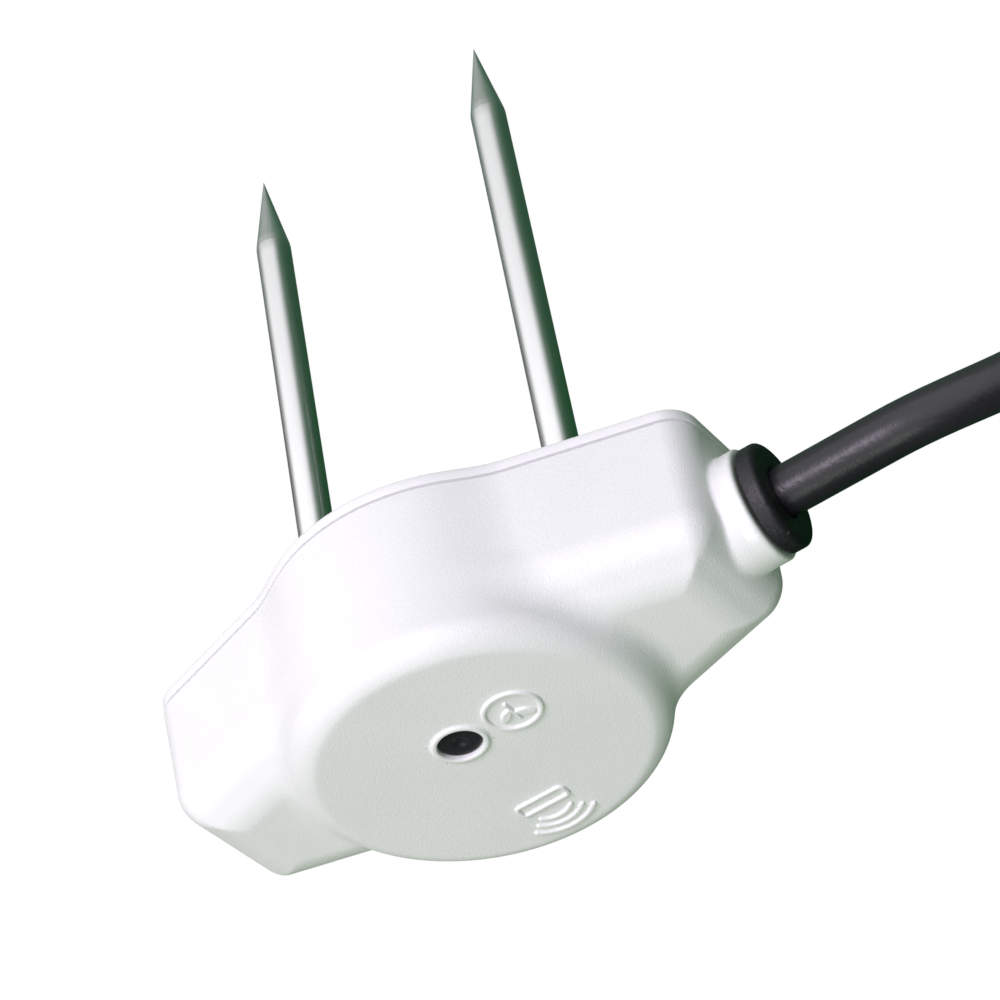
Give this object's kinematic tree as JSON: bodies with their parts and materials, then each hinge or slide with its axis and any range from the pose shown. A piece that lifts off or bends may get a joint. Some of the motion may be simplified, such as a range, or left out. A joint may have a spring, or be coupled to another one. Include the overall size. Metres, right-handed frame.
{
  "type": "soil moisture sensor",
  "caption": "Capacitive soil probe: winged round housing with pointed steel rods, a wake button and a side cable.",
  "frame": {"origin": "under the middle of the housing and its gland, in the plane the raised marks of the round face stand on; the hub axis is 2.5 mm towards -X", "axes": "+Z along the probe rods towards their tips, +X along the housing towards the cable gland, +Y completes the right-handed frame"},
  "size_m": [0.1665, 0.0731, 0.0934],
  "materials": {
    "shell_plastic": "fine spark-eroded texture, satin white",
    "cover_plastic": "smooth satin white",
    "rubber_black": "matt moulded",
    "rod_steel": "fine turned, satin",
    "screw_steel": "passivated",
    "nickel": "nickel plate",
    "spring_contact": "tinned brass",
    "board_green": "solder mask",
    "can_metal": "tin plate",
    "chip_black": "moulded epoxy",
    "capacitor_sleeve": "shrink sleeve",
    "bead_brown": "epoxy bead",
    "terminal_cream": "moulded nylon",
    "antenna_copper": "enamelled copper winding",
    "ferrite": "sintered, matt",
    "button_black": "satin silicone",
    "plunger_red": "moulded",
    "switch_black": "moulded",
    "cable_sheath": "extruded satin black",
    "core_brown": "extruded",
    "core_white": "extruded",
    "core_black": "extruded",
    "tie_black": "hook-and-loop strap",
    "plug_black": "moulded",
    "plug_metal": "gold flash",
    "plug_spacer": "moulded"
  },
  "bodies": {
    "sensor": {"housing_shell": "shell_plastic", "probe_cover": "cover_plastic", "cover_gasket": "rubber_black", "cover_screw_1": "screw_steel", "cover_screw_2": "screw_steel", "cover_screw_3": "screw_steel", "cover_screw_4": "screw_steel", "probe_rod_left": "rod_steel", "rod_bush_left": "rubber_black", "rod_oring_left": "rubber_black", "rod_contact_left": "spring_contact", "rod_washer_left": "nickel", "rod_nut_left": "nickel", "probe_rod_right": "rod_steel", "rod_bush_right": "rubber_black", "rod_oring_right": "rubber_black", "rod_contact_right": "spring_contact", "rod_washer_right": "nickel", "rod_nut_right": "nickel", "main_pcb": "board_green", "shield_can": "can_metal", "processor_chip": "chip_black", "clock_crystal": "can_metal", "storage_capacitor": "capacitor_sleeve", "thermistor": "bead_brown", "cable_terminal": "terminal_cream", "nfc_antenna": "antenna_copper", "ferrite_sheet": "ferrite", "switch_body": "switch_black", "cable_grommet": "rubber_black", "cable_clamp": "nickel", "cable_stub": "cable_sheath", "core_brown": "core_brown", "core_white": "core_white", "core_black": "core_black", "cable_lead": "cable_sheath", "cable_coil": "cable_sheath", "cable_tail": "cable_sheath", "coil_tie_left": "tie_black", "coil_tie_right": "tie_black", "plug_body": "plug_black", "plug_sleeve": "plug_metal", "plug_spacer_1": "plug_spacer", "plug_ring": "plug_metal", "plug_spacer_2": "plug_spacer", "plug_tip": "plug_metal"},
    "button": {"button_cap": "button_black", "switch_plunger": "plunger_red"}
  },
  "joints": [
    {"name": "button_press", "type": "slide", "parent": "sensor", "child": "button", "axis": [0, 0, 1], "range_m": [0, 0.0005], "stiffness_N_per_m": 1200}
  ]
}
